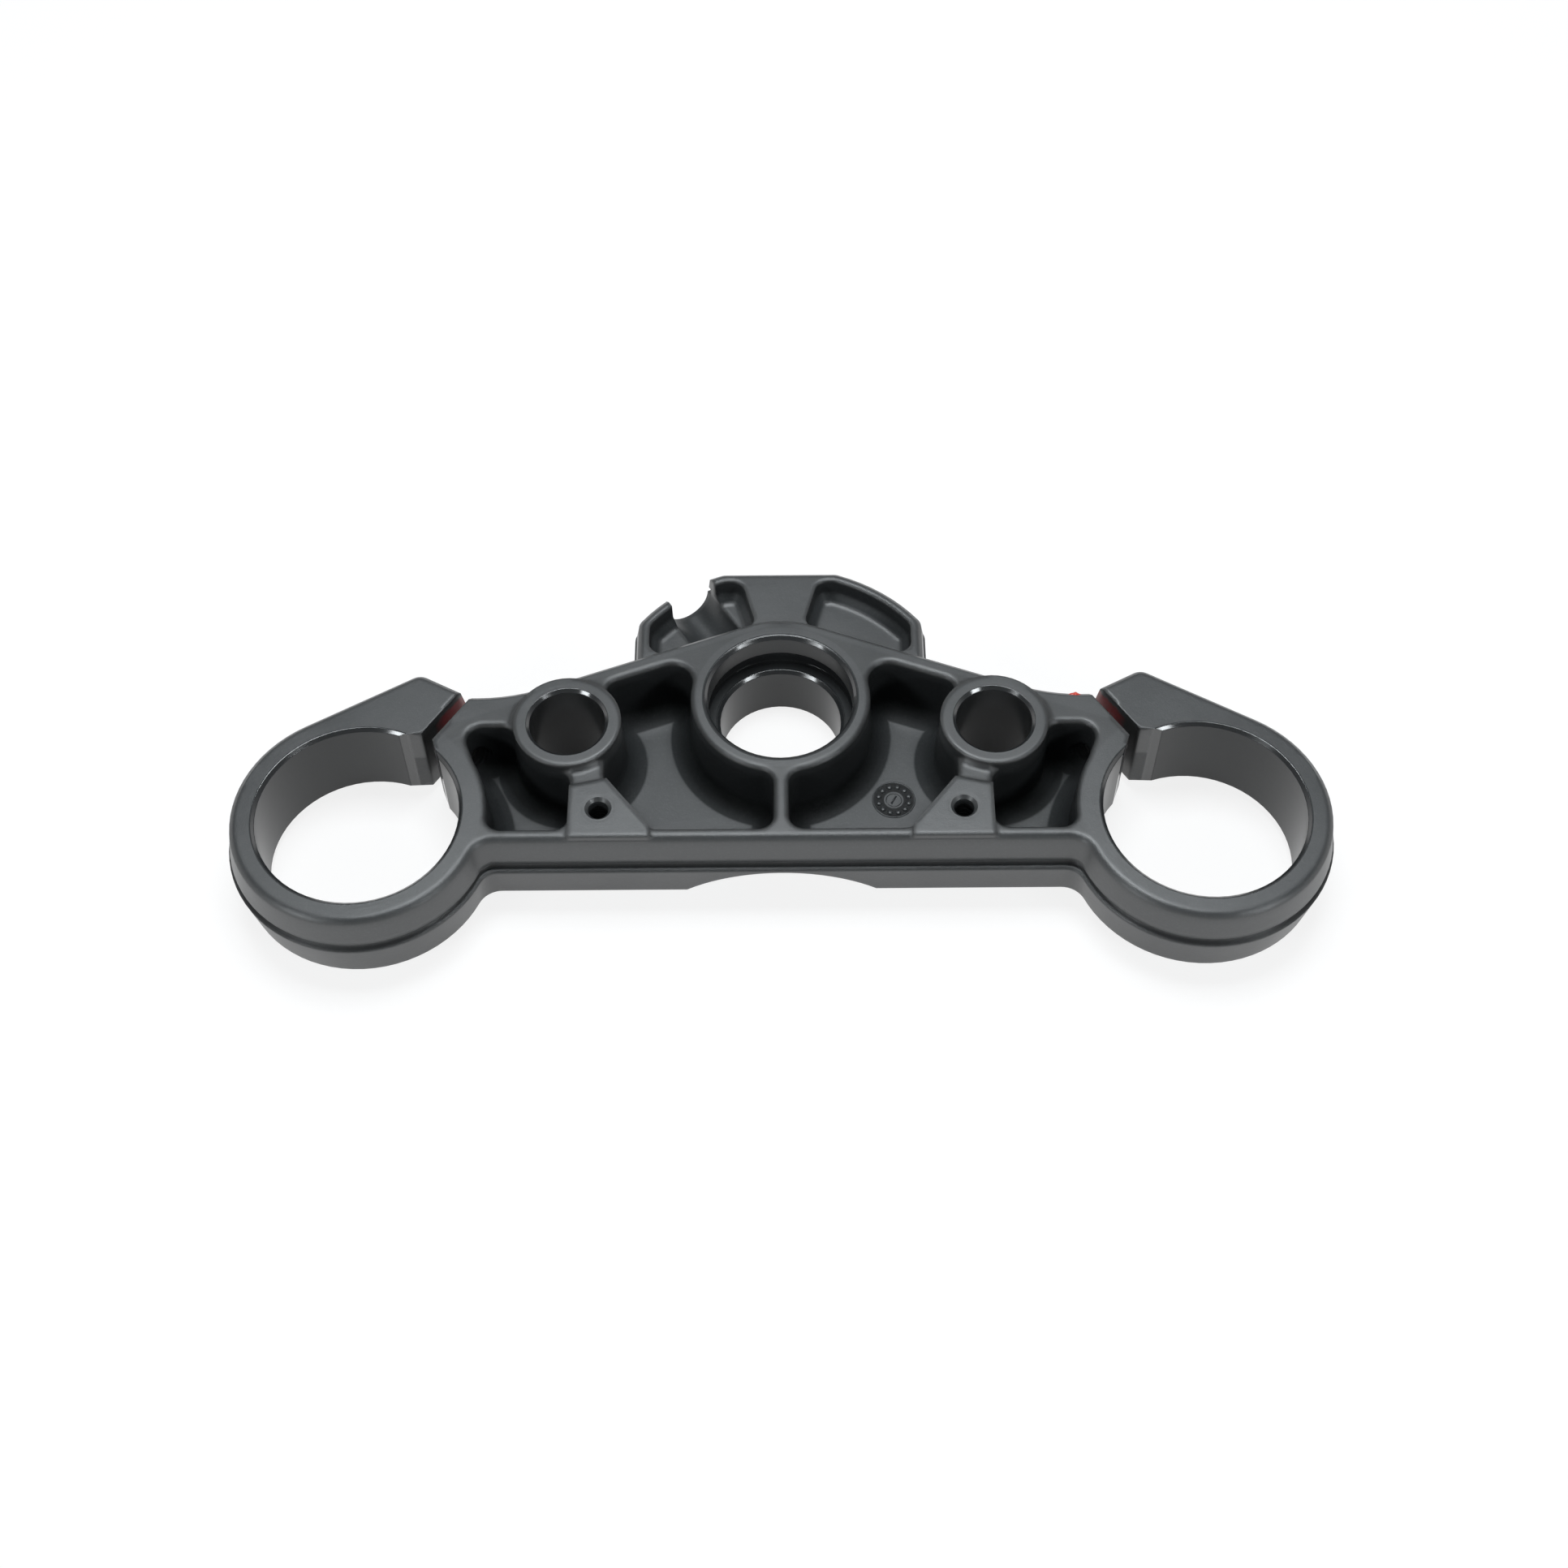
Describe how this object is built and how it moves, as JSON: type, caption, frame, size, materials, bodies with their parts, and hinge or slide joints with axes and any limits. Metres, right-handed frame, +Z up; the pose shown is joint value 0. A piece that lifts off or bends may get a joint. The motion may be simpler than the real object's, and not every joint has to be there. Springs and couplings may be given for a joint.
{
  "type": "motorcycle triple clamp",
  "caption": "Upper fork clamp casting with slit clamp rings, a central stem bore, handlebar riser bosses, threaded pads and a pocketed underside, lying upside down",
  "frame": {"origin": "on the steering stem's axis, at the flat surface the part lies on, which is the upper face in use", "axes": "+X across the fork towards the right of the picture, +Y away from the front wheel, +Z up through the pocketed underside, which points down in use"},
  "size_m": [0.274, 0.1121, 0.028],
  "materials": {
    "coated_casting": "satin black coating with a fine cast grain; machined bores"
  },
  "bodies": {
    "root": {"triple_clamp": "coated_casting"}
  },
  "joints": []
}
